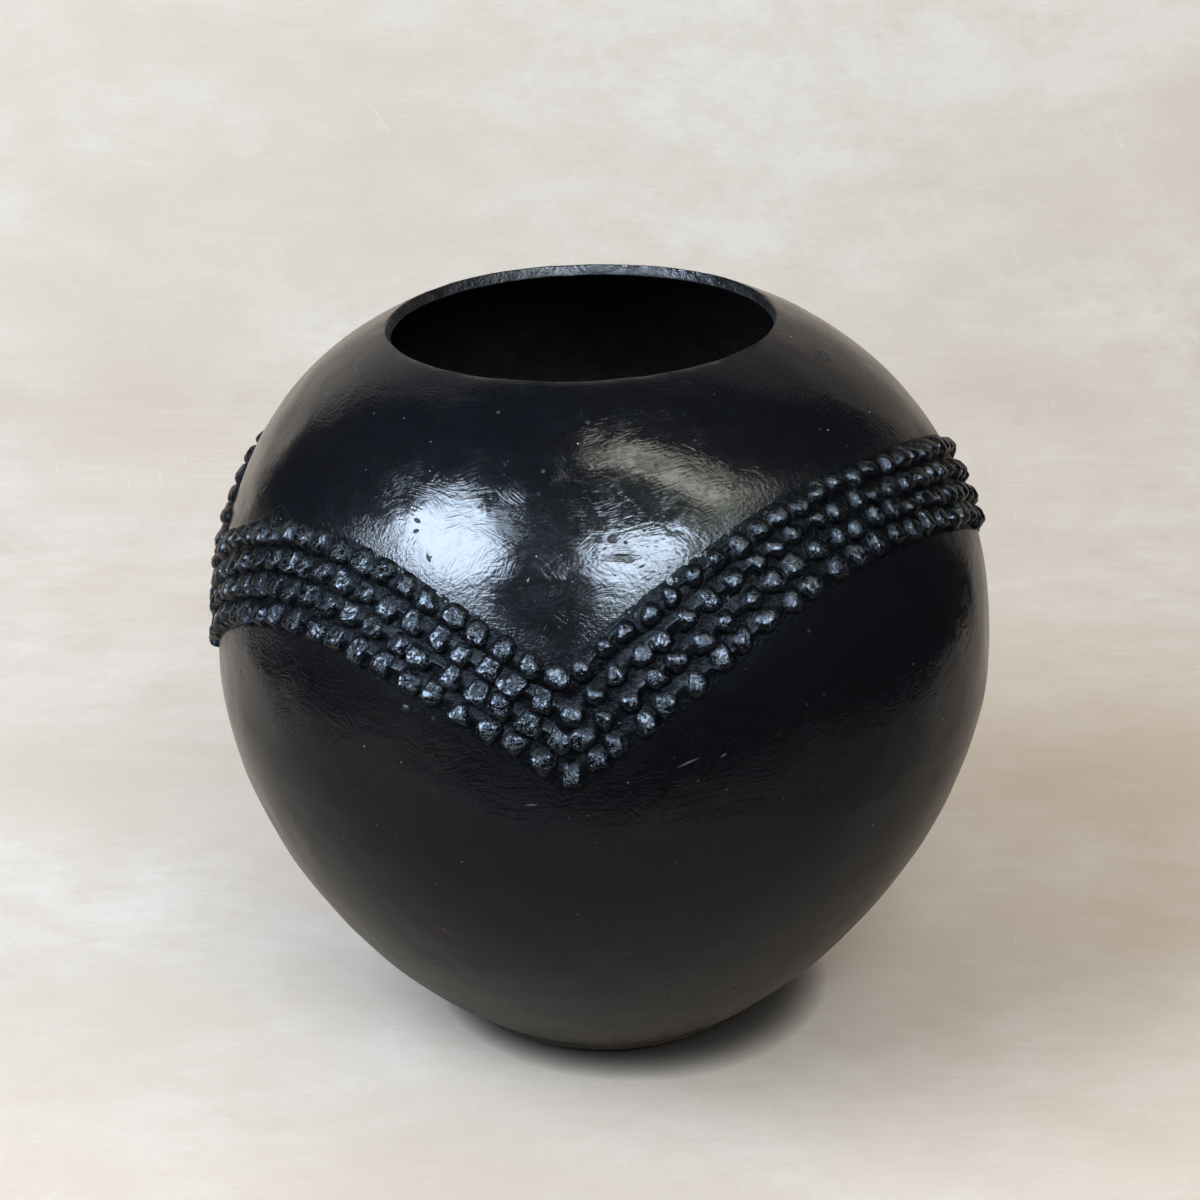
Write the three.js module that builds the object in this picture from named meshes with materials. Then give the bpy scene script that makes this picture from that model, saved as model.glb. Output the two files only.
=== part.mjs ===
// A hand-built clay pot: a full round body coiled up from a flat base to a narrow mouth,
// with a zigzag band of raised clay pellets round its shoulder.
// Millimetres, +Z up, and the origin is the middle of the flat foot.
// An azimuth of 0 faces -Y and grows towards +X. A run is a length along the outside of the wall.
import * as THREE from 'three';
import { mergeVertices } from 'three/addons/utils/BufferGeometryUtils.js';

const { clamp, degToRad, euclideanModulo, lerp, radToDeg, seededRandom } = THREE.MathUtils;

// Body
const GREATEST_RADIUS = 160;
const WIDEST_HEIGHT = 160;
const POT_HEIGHT = 303.5;
const MOUTH_RADIUS = 77.5;
const FOOT_RADIUS = 60;
const SHOULDER_FULLNESS = 2.33;
const BELLY_FULLNESS = 1.65;

// Clay thickness
const WALL_THICKNESS = 6.5;
const LIP_THICKNESS = 5.2;
const LIP_TAPER_RUN = 45;
const LIP_ROUNDING = 1;
const FLOOR_THICKNESS = 9;

// Coils, and the bevelled seams where each laps down over the one below
const WALL_COILS = 6;
const BASE_RUN = 36;
const RIM_COIL_RUN = 18;
const SEAM_BEVEL = 8;
const LUTING_GAP = 0.3;

// How the soft pot settled: its mouth leans to one side, its axis bows and sways, and its mouth tilts
const MOUTH_LEAN = -10.2;
const AXIS_BOW = 4.2;
const AXIS_SWAY = -2.8;
const MOUTH_TILT_RISE = 2.6;

// Pellet band
const BAND_ROWS = 4;
const PELLET_PITCH = 11.5;
const PELLET_WIDTH = 11;
const PELLET_HEIGHT = 4.2;
const PELLET_FLANK = 2.4;
const PELLET_CROWN = 0.5;
const PELLET_WAIST = 3.2;
const LEAST_TOP_SHARE = 1 / 3;
const RIDGE_HEIGHT = 1.4;
const ROW_CLEARANCE = 0.7;
const PULLED_TIP = 6;
const PULLED_TIP_AZIMUTH = -59.5;
const HAND_UNEVENNESS = 0.7;
const HAND_SEED = 11;

// Where the band turns: its azimuth in degrees, how far below the lip its lowest and its highest row
// lie there, as shares of the wall's whole run, and how soon these two rows of the arm from there to
// the next turn climb: less is sooner. Valleys and peaks take turns.
const BAND_TURNS = [
  { azimuth: -83, lowest: 0.443, highest: 0.334, climbs: [0.87, 0.97] },
  { azimuth: -44, lowest: 0.317, highest: 0.23, climbs: [0.95, 1.1] },
  { azimuth: -4.3, lowest: 0.4225, highest: 0.325, climbs: [0.965, 0.835] },
  { azimuth: 46.5, lowest: 0.241, highest: 0.173, climbs: [0.93, 0.875] },
  { azimuth: 112, lowest: 0.423, highest: 0.319, climbs: [1, 1] },
  { azimuth: 152, lowest: 0.275, highest: 0.194, climbs: [0.9, 0.9] },
  { azimuth: 195, lowest: 0.428, highest: 0.318, climbs: [0.95, 0.95] },
  { azimuth: 236, lowest: 0.296, highest: 0.215, climbs: [0.9, 0.9] },
];

// Facets
const FACETS_ROUND = 64;
const COIL_STEPS_OUTSIDE = 3;
const COIL_STEPS_INSIDE = 2;
const EDGE_STEPS = 2;
const PROFILE_DIVISIONS = 800;
const FLOOR_EDGE_HALVINGS = 40;

const clay = { color: 0x1b1c21, roughness: 0.3, metalness: 0 };
const pelletClay = { color: 0x222328, roughness: 0.42, metalness: 0 };

// The share of a half's own reach at which it has closed in to a given radius.
function closingShare(radius, fullness) {
  return (1 - (radius / GREATEST_RADIUS) ** fullness) ** (1 / fullness);
}

const shoulderReach = (POT_HEIGHT - WIDEST_HEIGHT) / closingShare(MOUTH_RADIUS, SHOULDER_FULLNESS);
const bellyReach = WIDEST_HEIGHT / closingShare(FOOT_RADIUS, BELLY_FULLNESS);

// The outside of the wall from the foot's edge to the lip, as radius and height.
class OuterProfile extends THREE.Curve {
  constructor() {
    super();
    this.arcLengthDivisions = PROFILE_DIVISIONS;
  }

  getPoint(share) {
    const height = share * POT_HEIGHT;
    const above = height > WIDEST_HEIGHT;
    const reach = above ? shoulderReach : bellyReach;
    const fullness = above ? SHOULDER_FULLNESS : BELLY_FULLNESS;
    const closed = (Math.abs(height - WIDEST_HEIGHT) / reach) ** fullness;
    return new THREE.Vector2(GREATEST_RADIUS * (1 - closed) ** (1 / fullness), height);
  }
}

const profile = new OuterProfile();
const wallRun = profile.getLength();

function inwards(run) {
  const along = profile.getTangentAt(run / wallRun);
  return new THREE.Vector2(-along.y, along.x);
}

function outside(run, depth = 0) {
  return profile.getPointAt(run / wallRun).addScaledVector(inwards(run), depth);
}

function thickness(run) {
  const thinned = clamp(1 - (wallRun - run) / LIP_TAPER_RUN, 0, 1);
  return lerp(WALL_THICKNESS, LIP_THICKNESS, thinned);
}

function inside(run) {
  return outside(run, thickness(run));
}

function steps(curve, from, to, count) {
  return Array.from({ length: count + 1 }, (_, i) => curve(lerp(from, to, i / count)));
}

// Moves a point of the true round form to where the hand-built pot has it.
function settle(point) {
  const up = point.z / POT_HEIGHT;
  const tilt = MOUTH_TILT_RISE * (point.x / MOUTH_RADIUS) * up ** 3;
  const bow = AXIS_BOW * 4 * up * (1 - up);
  const sway = AXIS_SWAY * 8 * up * (1 - up) * (1 - 2 * up);
  point.x += MOUTH_LEAN * up + bow + sway;
  point.z += tilt;
  return point;
}

// Turns a closed profile round the pot's axis. The profile climbs on the outside.
function turned(points) {
  const geometry = new THREE.LatheGeometry(points, FACETS_ROUND);
  geometry.rotateX(Math.PI / 2);
  geometry.deleteAttribute('normal');
  geometry.deleteAttribute('uv');
  const positions = geometry.getAttribute('position');
  const point = new THREE.Vector3();
  for (let i = 0; i < positions.count; i += 1) {
    settle(point.fromBufferAttribute(positions, i));
    positions.setXYZ(i, point.x, point.y, point.z);
  }
  return mergeVertices(geometry);
}

const pot = new THREE.Group();

function addPiece(name, geometry, finish) {
  const mesh = new THREE.Mesh(geometry, new THREE.MeshStandardMaterial(finish));
  mesh.name = name;
  pot.add(mesh);
}

// Seams run from low on the outside to high on the inside, and the two sides of one
// stand a luting gap apart.
const seamSlope = Math.atan2(WALL_THICKNESS, SEAM_BEVEL);
const seamShift = LUTING_GAP / Math.sin(seamSlope) / 2;

const outerEdge = {
  below: (seam) => seam - SEAM_BEVEL / 2 - seamShift,
  above: (seam) => seam - SEAM_BEVEL / 2 + seamShift,
};
const innerEdge = {
  below: (seam) => seam + SEAM_BEVEL / 2 - seamShift,
  above: (seam) => seam + SEAM_BEVEL / 2 + seamShift,
};

const baseSeam = BASE_RUN;
const rimSeam = wallRun - RIM_COIL_RUN;
const coilRun = (rimSeam - baseSeam) / WALL_COILS;

// The run at which the inside of the wall comes down to the floor.
function floorEdgeRun() {
  let low = 0;
  let high = innerEdge.below(baseSeam);
  for (let i = 0; i < FLOOR_EDGE_HALVINGS; i += 1) {
    const middle = (low + high) / 2;
    if (inside(middle).y > FLOOR_THICKNESS) {
      high = middle;
    } else {
      low = middle;
    }
  }
  return high;
}

function makeBase() {
  const points = [
    new THREE.Vector2(0, 0),
    ...steps(outside, 0, outerEdge.below(baseSeam), EDGE_STEPS),
    ...steps(inside, innerEdge.below(baseSeam), floorEdgeRun(), EDGE_STEPS),
    new THREE.Vector2(0, FLOOR_THICKNESS),
  ];
  addPiece('base', turned(points), clay);
}

function makeWallCoil(index) {
  const lower = baseSeam + index * coilRun;
  const upper = lower + coilRun;
  const outer = steps(outside, outerEdge.above(lower), outerEdge.below(upper), COIL_STEPS_OUTSIDE);
  const inner = steps(inside, innerEdge.below(upper), innerEdge.above(lower), COIL_STEPS_INSIDE);
  addPiece(`wall_coil_${index + 1}`, turned([...outer, ...inner, outer[0].clone()]), clay);
}

// The lip is cut square across the wall, and its two corners are softened.
function makeRimCoil() {
  const outer = steps(outside, outerEdge.above(rimSeam), wallRun - LIP_ROUNDING, EDGE_STEPS);
  const lip = [outside(wallRun, LIP_ROUNDING), outside(wallRun, LIP_THICKNESS - LIP_ROUNDING)];
  const inner = steps(inside, wallRun - LIP_ROUNDING, innerEdge.above(rimSeam), EDGE_STEPS);
  addPiece('rim_coil', turned([...outer, ...lip, ...inner, outer[0].clone()]), clay);
}

makeBase();
for (let i = 0; i < WALL_COILS; i += 1) {
  makeWallCoil(i);
}
makeRimCoil();

// The two turns that an azimuth lies between, and its share of the way from one to the other.
function armOf(azimuth) {
  const count = BAND_TURNS.length;
  const first = BAND_TURNS[0].azimuth;
  const onwards = first + euclideanModulo(azimuth - first, 360);
  let index = count - 1;
  while (BAND_TURNS[index].azimuth > onwards) {
    index -= 1;
  }
  const from = BAND_TURNS[index];
  const to = BAND_TURNS[(index + 1) % count];
  const span = euclideanModulo(to.azimuth - from.azimuth, 360);
  return { from, to, share: (onwards - from.azimuth) / span };
}

// The run from the foot's edge up to a row of the band, at an azimuth in degrees. The band climbs
// steeply out of each valley and rounds over at each peak.
function rowRun(row, azimuth) {
  const { from, to, share } = armOf(azimuth);
  const rowShare = row / (BAND_ROWS - 1);
  const leavesValley = from.lowest > to.lowest;
  const [valley, peak] = leavesValley ? [from, to] : [to, from];
  const climb = lerp(...from.climbs, rowShare);
  const climbed = Math.sin((Math.PI / 2) * (leavesValley ? share : 1 - share) ** climb);
  const lowest = lerp(valley.lowest, peak.lowest, climbed);
  const highest = lerp(valley.highest, peak.highest, climbed);
  return wallRun * (1 - lerp(lowest, highest, rowShare));
}

// Half the width that a pellet can have where the rows lie closest to each other.
function rowHalfWidth(azimuth) {
  const spacing = rowRun(1, azimuth) - rowRun(0, azimuth);
  return Math.min(PELLET_WIDTH, spacing - ROW_CLEARANCE) / 2;
}

// A point on or over the outside of the settled wall.
function overWall(azimuth, run, height) {
  const { x: radius, y: level } = outside(run, -height);
  const angle = degToRad(azimuth);
  return settle(new THREE.Vector3(radius * Math.sin(angle), -radius * Math.cos(angle), level));
}

// The middle line of one arm of the band, used to share out its pellets.
class ArmLine extends THREE.Curve {
  constructor(turnIndex) {
    super();
    this.start = BAND_TURNS[turnIndex].azimuth;
    const next = BAND_TURNS[(turnIndex + 1) % BAND_TURNS.length].azimuth;
    this.span = euclideanModulo(next - this.start, 360);
  }

  azimuthAt(lengthShare) {
    return this.start + this.span * this.getUtoTmapping(lengthShare);
  }

  getPoint(share) {
    const azimuth = this.start + this.span * Math.min(share, 1 - Number.EPSILON);
    const run = (rowRun(0, azimuth) + rowRun(BAND_ROWS - 1, azimuth)) / 2;
    return overWall(azimuth, run, 0);
  }
}

// Azimuths shared out evenly along the band, all the way round, and the place of each arm among them.
const stations = [];
const armStarts = [];
for (let turn = 0; turn < BAND_TURNS.length; turn += 1) {
  const line = new ArmLine(turn);
  const count = Math.round(line.getLength() / PELLET_PITCH);
  armStarts.push(stations.length);
  for (let k = 0; k < count; k += 1) {
    stations.push(line.azimuthAt(k / count));
  }
}
armStarts.push(stations.length);

function stationAzimuth(place) {
  const count = stations.length;
  const at = (index) => stations[euclideanModulo(index, count)] + 360 * Math.floor(index / count);
  const whole = Math.floor(place);
  return lerp(at(whole), at(whole + 1), place - whole);
}

// Whether a pellet is the one of the highest row whose upper edge is pulled up to a tip.
function pulledUp(row, place) {
  const from = stationAzimuth(place - 0.5);
  const to = stationAzimuth(place + 0.5);
  return row === BAND_ROWS - 1 && from <= PULLED_TIP_AZIMUTH && PULLED_TIP_AZIMUTH < to;
}

function uneven(amount) {
  return amount * (2 * seededRandom() - 1);
}

// One row of one arm: a low ridge of clay with a pinched pellet on each pitch. Each pellet has
// a waist at both ends, where it runs into the next, a bulge at its middle and a slanting top.
// Every second row is staggered by half a pitch.
function makePelletRow(arm, row) {
  const positions = [];
  const triangles = [];
  const vertex = (azimuth, run, height) => {
    overWall(azimuth, run, LUTING_GAP + height).toArray(positions, positions.length);
    return positions.length / 3 - 1;
  };
  const fan = (...corners) => {
    for (let i = 2; i < corners.length; i += 1) {
      triangles.push(corners[0], corners[i - 1], corners[i]);
    }
  };
  const stagger = (row % 2) / 2;
  const first = armStarts[arm] + stagger;
  const last = armStarts[arm + 1] + stagger;

  const waist = (place, inset) => {
    const middle = stationAzimuth(place);
    const run = rowRun(row, middle);
    const radius = outside(run).x;
    const azimuth = middle + radToDeg((inset * LUTING_GAP) / 2 / radius);
    const halfWidth = Math.min(PELLET_WAIST, rowHalfWidth(middle));
    return {
      upper: vertex(azimuth, run + halfWidth, 0),
      ridge: vertex(azimuth, run, RIDGE_HEIGHT),
      lower: vertex(azimuth, run - halfWidth, 0),
    };
  };

  const addPellet = (place, back, front, tip) => {
    const azimuth = stationAzimuth(place);
    const run = rowRun(row, azimuth);
    const radius = outside(run).x;
    const halfWidth = rowHalfWidth(azimuth);
    const halfLength = (degToRad(stationAzimuth(place + 0.5) - stationAzimuth(place - 0.5)) * radius) / 2;
    const upper = vertex(azimuth, run + halfWidth + tip, 0);
    const lower = vertex(azimuth, run - halfWidth, 0);
    const topLength = radToDeg(Math.max(halfLength - PELLET_FLANK, halfLength * LEAST_TOP_SHARE) / radius);
    const topWidth = Math.max(halfWidth - PELLET_FLANK, halfWidth * LEAST_TOP_SHARE);
    const topAt = (along, across) => {
      const at = azimuth + along * topLength;
      const lift = PELLET_HEIGHT + uneven(HAND_UNEVENNESS);
      return vertex(at, rowRun(row, at) + across * topWidth + uneven(HAND_UNEVENNESS), lift);
    };
    const backLower = topAt(-1, -1);
    const backUpper = topAt(-1, 1);
    const frontUpper = topAt(1, 1);
    const frontLower = topAt(1, -1);
    const crown = vertex(azimuth, run, PELLET_HEIGHT + PELLET_CROWN);
    fan(crown, backLower, frontLower, frontUpper, backUpper, backLower);
    fan(backLower, back.lower, lower, front.lower, frontLower);
    fan(frontUpper, front.upper, upper, back.upper, backUpper);
    fan(back.ridge, back.lower, backLower, backUpper, back.upper);
    fan(front.ridge, front.upper, frontUpper, frontLower, front.lower);
    fan(back.upper, upper, front.upper, front.lower, lower, back.lower);
  };

  let back = waist(first - 0.5, 1);
  triangles.push(back.ridge, back.upper, back.lower);
  for (let place = first; place < last; place += 1) {
    const end = place + 1 >= last;
    const front = waist(place + 0.5, end ? -1 : 0);
    addPellet(place, back, front, pulledUp(row, place) ? PULLED_TIP : 0);
    back = front;
  }
  triangles.push(back.ridge, back.lower, back.upper);

  const geometry = new THREE.BufferGeometry();
  geometry.setAttribute('position', new THREE.Float32BufferAttribute(positions, 3));
  geometry.setIndex(triangles);
  addPiece(`band_arm_${arm + 1}_row_${row + 1}`, geometry, pelletClay);
}

seededRandom(HAND_SEED);
for (let arm = 0; arm < BAND_TURNS.length; arm += 1) {
  for (let row = 0; row < BAND_ROWS; row += 1) {
    makePelletRow(arm, row);
  }
}

export default pot;
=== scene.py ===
# A round, smoke-blackened and burnished clay pot with a zigzag band of raised pellets.
# The forms are worked out in millimetres, and the meshes are in metres.
# An azimuth of 0 faces -Y and grows towards +X. A run is a length along the outside of the wall,
# from the foot's edge up to the lip.
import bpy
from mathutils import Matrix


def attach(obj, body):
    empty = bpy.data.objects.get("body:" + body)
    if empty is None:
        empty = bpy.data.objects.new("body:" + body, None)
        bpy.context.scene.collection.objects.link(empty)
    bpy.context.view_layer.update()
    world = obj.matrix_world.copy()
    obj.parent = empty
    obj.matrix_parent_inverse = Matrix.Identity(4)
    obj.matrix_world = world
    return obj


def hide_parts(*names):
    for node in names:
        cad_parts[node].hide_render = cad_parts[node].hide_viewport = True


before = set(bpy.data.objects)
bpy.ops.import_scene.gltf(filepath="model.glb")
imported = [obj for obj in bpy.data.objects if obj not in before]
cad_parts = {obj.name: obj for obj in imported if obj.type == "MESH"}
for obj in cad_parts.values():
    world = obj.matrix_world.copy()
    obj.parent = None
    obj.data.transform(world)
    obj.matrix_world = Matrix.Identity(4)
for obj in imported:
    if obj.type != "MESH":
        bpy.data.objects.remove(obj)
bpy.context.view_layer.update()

import itertools
import math

import bpy
import numpy as np
from mathutils import Matrix, Vector

MM = 0.001

# The pot's own sizes, the same as its solids have

GREATEST_RADIUS = 160
WIDEST_HEIGHT = 160
POT_HEIGHT = 303.5
MOUTH_RADIUS = 77.5
FOOT_RADIUS = 60
SHOULDER_FULLNESS = 2.33
BELLY_FULLNESS = 1.65
WALL_THICKNESS = 6.5
LIP_THICKNESS = 5.2
LIP_TAPER_RUN = 45
FLOOR_THICKNESS = 9
MOUTH_LEAN = -10.2
AXIS_BOW = 4.2
AXIS_SWAY = -2.8
MOUTH_TILT_RISE = 2.6
BAND_ROWS = 4
PELLET_PITCH = 11.5

# Where the band turns: azimuth, the shares of the wall's run that its lowest and highest rows lie
# below the lip, and how soon these two rows of the arm from there climb
TURN_AZIMUTH = np.array([-83, -44, -4.3, 46.5, 112, 152, 195, 236])
TURN_LOWEST = np.array([0.443, 0.317, 0.4225, 0.241, 0.423, 0.275, 0.428, 0.296])
TURN_HIGHEST = np.array([0.334, 0.23, 0.325, 0.173, 0.319, 0.194, 0.318, 0.215])
CLIMB_LOWEST = np.array([0.87, 0.95, 0.965, 0.93, 1, 0.9, 0.95, 0.9])
CLIMB_HIGHEST = np.array([0.97, 1.1, 0.835, 0.875, 1, 0.9, 0.95, 0.9])
PULLED_TIP_AZIMUTH = -59.5

# How far outside its outer rows the band still roughens the wall, and how slowly that ends
BAND_BORDER = 4
BAND_FADE = 10.5


def closing_share(radius, fullness):
    return (1 - (radius / GREATEST_RADIUS) ** fullness) ** (1 / fullness)


def make_wall_table(divisions=8000):
    """Run, radius, level and the outward normal's two parts, from the foot's edge to the lip."""
    level = np.linspace(0, POT_HEIGHT, divisions + 1)
    above = level > WIDEST_HEIGHT
    shoulder = (POT_HEIGHT - WIDEST_HEIGHT) / closing_share(MOUTH_RADIUS, SHOULDER_FULLNESS)
    belly = WIDEST_HEIGHT / closing_share(FOOT_RADIUS, BELLY_FULLNESS)
    reach = np.where(above, shoulder, belly)
    fullness = np.where(above, SHOULDER_FULLNESS, BELLY_FULLNESS)
    closed = (np.abs(level - WIDEST_HEIGHT) / reach) ** fullness
    radius = GREATEST_RADIUS * (1 - closed) ** (1 / fullness)
    run = np.concatenate([[0], np.cumsum(np.hypot(np.diff(radius), np.diff(level)))])
    return run, radius, level, np.gradient(level, run), -np.gradient(radius, run)


WALL_TABLE = make_wall_table()
WALL_RUN = WALL_TABLE[0][-1]


def wall_at(run):
    """Radius, level, normal outwards and normal upwards of the wall at a run."""
    return [np.interp(run, WALL_TABLE[0], column) for column in WALL_TABLE[1:]]


def thickness(run):
    thinned = np.clip(1 - (WALL_RUN - run) / LIP_TAPER_RUN, 0, 1)
    return WALL_THICKNESS + (LIP_THICKNESS - WALL_THICKNESS) * thinned


def settle(points):
    """Moves points of the true round form to where the hand-built pot has them."""
    x, y, z = points.T
    up = z / POT_HEIGHT
    tilt = MOUTH_TILT_RISE * (x / MOUTH_RADIUS) * up**3
    bow = AXIS_BOW * 4 * up * (1 - up)
    sway = AXIS_SWAY * 8 * up * (1 - up) * (1 - 2 * up)
    return np.column_stack([x + MOUTH_LEAN * up + bow + sway, y, z + tilt])


def row_run(row, azimuth):
    """The run at which the line of one row lies. Row 0 is the lowest."""
    onwards = TURN_AZIMUTH[0] + (azimuth - TURN_AZIMUTH[0]) % 360
    before = np.searchsorted(TURN_AZIMUTH, onwards, side="right") - 1
    after = (before + 1) % len(TURN_AZIMUTH)
    span = (TURN_AZIMUTH[after] - TURN_AZIMUTH[before]) % 360
    share = (onwards - TURN_AZIMUTH[before]) / span
    climbs = TURN_LOWEST[before] > TURN_LOWEST[after]
    valley = np.where(climbs, before, after)
    peak = np.where(climbs, after, before)
    row_share = row / (BAND_ROWS - 1)
    climb = CLIMB_LOWEST[before] + (CLIMB_HIGHEST[before] - CLIMB_LOWEST[before]) * row_share
    climbed = np.sin(math.pi / 2 * np.where(climbs, share, 1 - share) ** climb)
    lowest = TURN_LOWEST[valley] + (TURN_LOWEST[peak] - TURN_LOWEST[valley]) * climbed
    highest = TURN_HIGHEST[valley] + (TURN_HIGHEST[peak] - TURN_HIGHEST[valley]) * climbed
    return WALL_RUN * (1 - lowest - (highest - lowest) * row_share)


def near_the_band(azimuth, run):
    """1 inside the band, fading to 0 outside it."""
    outside = np.maximum(run - row_run(BAND_ROWS - 1, azimuth), row_run(0, azimuth) - run)
    return np.exp(-((np.maximum(outside - BAND_BORDER, 0) / BAND_FADE) ** 2))


def round_points(azimuth, radius, level):
    angle = np.radians(azimuth)
    return np.column_stack([radius * np.sin(angle), -radius * np.cos(angle), level])


def wall_place(azimuth, run):
    """A point on the settled wall, with the directions along and up the wall there."""
    def at(azimuth, run):
        radius, level = wall_at(np.array([run]))[:2]
        return settle(round_points(np.array([azimuth]), radius, level))[0]
    half_degree, one_up = 0.5, 1.0
    here = at(azimuth, run)
    along, up = at(azimuth + half_degree, run) - here, at(azimuth, run + one_up) - here
    return [tuple(v) for v in (here, along / np.linalg.norm(along), up / np.linalg.norm(up))]


# Noise and easing

NOISE_STRIDES = (73856093, 19349663, 83492791)
SEED_STRIDE = 2654435761
NOISE_MIXERS = ((15, 2246822519), (13, 3266489917))
WORD = 0xFFFFFFFF
HALF_WORD = 0xFFFF

# The seed of each noise of the vessel
(BROAD_SEED, MIDDLING_SEED, FACET_SEED, SMEAR_SEED, FINGER_SEED, PARED_SEED, PARED_FINE_SEED,
 LIP_SEED, KNEADED_SEED) = range(1, 10)

# The first seed of each noise of the band, to which a row adds its number, and that of the pellets' sizes
ROUGH_SEED, FINE_SEED, WARP_ALONG_SEED, WARP_UP_SEED, WANDER_SEED = 20, 30, 40, 50, 60
THREAD_PATH_SEED, THREAD_SEED, TIP_SEED = 65, 70, 80
PELLET_SEED = 7


def noise(points, seed):
    """Smooth noise from -1 to 1, with one unit as its cell."""
    cell = np.floor(points).astype(np.int64)
    share = points - cell
    share = share**3 * (share * (share * 6 - 15) + 10)
    total = np.zeros(len(points))
    for corner in itertools.product((0, 1), repeat=3):
        at = (cell + corner) * NOISE_STRIDES
        mixed = (at[:, 0] ^ at[:, 1] ^ at[:, 2] ^ (seed * SEED_STRIDE)) & WORD
        for bits, factor in NOISE_MIXERS:
            mixed = ((mixed ^ (mixed >> bits)) * factor) & WORD
        value = ((mixed ^ (mixed >> 16)) & HALF_WORD) / (HALF_WORD / 2) - 1
        total += value * np.where(corner, share, 1 - share).prod(axis=1)
    return total


def in_cells(points, *sizes):
    """Points counted in cells that have their own size along each axis."""
    return points * tuple(1 / size for size in sizes)


def eased(share):
    return share * share * (3 - 2 * share)


def rising(value, start, length):
    """0 up to a start, and 1 from the given length past it."""
    return np.clip((value - start) / length, 0, 1)


def smooth_most(a, b, softness):
    return (a + b + np.sqrt((a - b) ** 2 + softness**2)) / 2


def smooth_least(a, b, softness):
    return (a + b - np.sqrt((a - b) ** 2 + softness**2)) / 2


# How uneven the wall is: the size of its dents and their depth

BROAD_SIZE, BROAD_DEPTH = 46, 0.2
MIDDLING_SIZE, MIDDLING_DEPTH = 17, 0.24
FACET_SIZE, FACET_DEPTH = (10, 10, 6), 0.07
KNEADED_SIZE, KNEADED_DEPTH = 7.5, 0.1
WALL_SHORTFALL = 0.3


def dents(points, near_band=1.0):
    """Height over the wall: beaten and scraped, and rougher near the band."""
    broad = noise(points / BROAD_SIZE, BROAD_SEED)
    middling = noise(points / MIDDLING_SIZE, MIDDLING_SEED)
    facets = noise(in_cells(points, *FACET_SIZE), FACET_SEED)
    kneaded = noise(points / KNEADED_SIZE, KNEADED_SEED)
    beaten = BROAD_DEPTH * broad + MIDDLING_DEPTH * middling + FACET_DEPTH * facets
    return beaten + KNEADED_DEPTH * near_band * kneaded


# Meshes

def make_object(name, points, faces, **attributes):
    """A smooth mesh in metres from points in millimetres, with a float attribute for each array."""
    mesh = bpy.data.meshes.new(name)
    sizes = np.concatenate([np.full(len(f), f.shape[1]) for f in faces])
    corners = np.concatenate([f.ravel() for f in faces])
    mesh.vertices.add(len(points))
    mesh.vertices.foreach_set("co", (points * MM).astype(np.float32).ravel())
    mesh.loops.add(len(corners))
    mesh.loops.foreach_set("vertex_index", corners.astype(np.int32))
    mesh.polygons.add(len(sizes))
    mesh.polygons.foreach_set("loop_start", (np.cumsum(sizes) - sizes).astype(np.int32))
    mesh.update(calc_edges=True)
    mesh.validate()
    mesh.polygons.foreach_set("use_smooth", np.ones(len(mesh.polygons), bool))
    for key, values in attributes.items():
        layer = mesh.attributes.new(key, "FLOAT", "POINT")
        layer.data.foreach_set("value", np.asarray(values, np.float32))
    obj = bpy.data.objects.new(name, mesh)
    bpy.context.scene.collection.objects.link(obj)
    return obj


def grid_faces(rows, columns, wraps):
    """Quads of a grid whose points are stored row by row. The last column joins the first if it wraps."""
    across = columns if wraps else columns - 1
    i, j = np.meshgrid(np.arange(rows - 1), np.arange(across), indexing="ij")
    here, after = i * columns, (j + 1) % columns
    quads = np.stack([here + j, here + after, here + columns + after, here + columns + j], -1)
    return quads.reshape(-1, 4)


def bezier(a, b, c, steps):
    t = np.linspace(0, 1, steps)[:, None]
    return (1 - t) ** 2 * np.array(a) + 2 * t * (1 - t) * np.array(b) + t**2 * np.array(c)


# The vessel itself, one closed skin: under the foot, up the outside, over the lip and down the inside

AROUND = 400
OUTSIDE_RINGS = 150
INSIDE_RINGS = 40
FOOT_RINGS = 14
LIP_CORNER = 0.8

# The parts of the skin that a ring can be on
OUTSIDE, LIP_TOP, LIP_INNER_CORNER, INSIDE = 0, 0.3, 0.6, 1

# How far the foot's edge is worn round, inside it and up the wall, and what pulls that curve outwards
FOOT_WORN_INSIDE = 20
FOOT_WORN_RUN = 13
FOOT_WORN_PULL = (10, 0.4)

# The turn from the inside of the wall to the floor: its run, its width and what pulls it
FLOOR_RUN = 24
FLOOR_TURN = 26
FLOOR_TURN_PULL = 12

# Inside, the fingers left long smears that run round and shorter prints
SMEAR_SIZE, SMEAR_DEPTH = (50, 50, 7), 0.45
FINGER_SIZE, FINGER_DEPTH = 15, 0.25

# The skin leaves the true form from just inside the foot's edge on: fully short of the solid's wall,
# and fully uneven, after these runs
UNEVEN_START = -3
SHORT_AFTER = 6.5
UNEVEN_AFTER = 14

# The lip is pared by hand as far as its reach to either side of its middle
LIP_MIDDLE = 2.5
LIP_REACH = 6
NOTCH_AZIMUTH = 184
NOTCH_HALF_WIDTH = 2.2


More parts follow.
